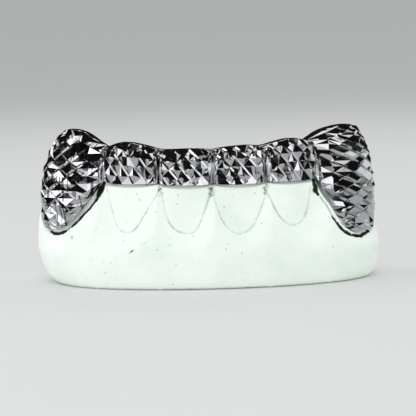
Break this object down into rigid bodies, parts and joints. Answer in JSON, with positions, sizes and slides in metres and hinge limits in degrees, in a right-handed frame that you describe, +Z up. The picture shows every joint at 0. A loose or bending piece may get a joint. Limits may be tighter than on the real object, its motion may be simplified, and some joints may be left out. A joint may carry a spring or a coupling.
{
  "type": "grillz tooth cover on plaster tooth cast",
  "caption": "Diamond-cut silver cap set for the lower front teeth, on the plaster tooth cast that holds it: solid metal caps joined in one piece, hollow underneath.",
  "frame": {"origin": "centre of the plaster cast's bounding box, on its flat bottom", "axes": "+X along the tooth row to the right as seen from the front, +Y from the front of the teeth to the back, +Z up from the base to the biting edges"},
  "size_m": [0.0356, 0.0158, 0.0159],
  "materials": {
    "silver": "polished sterling silver with diamond-cut facets",
    "plaster": "dull white dental plaster, faintly green"
  },
  "bodies": {
    "root": {"grill": "silver", "plaster_cast": "plaster"}
  },
  "joints": []
}
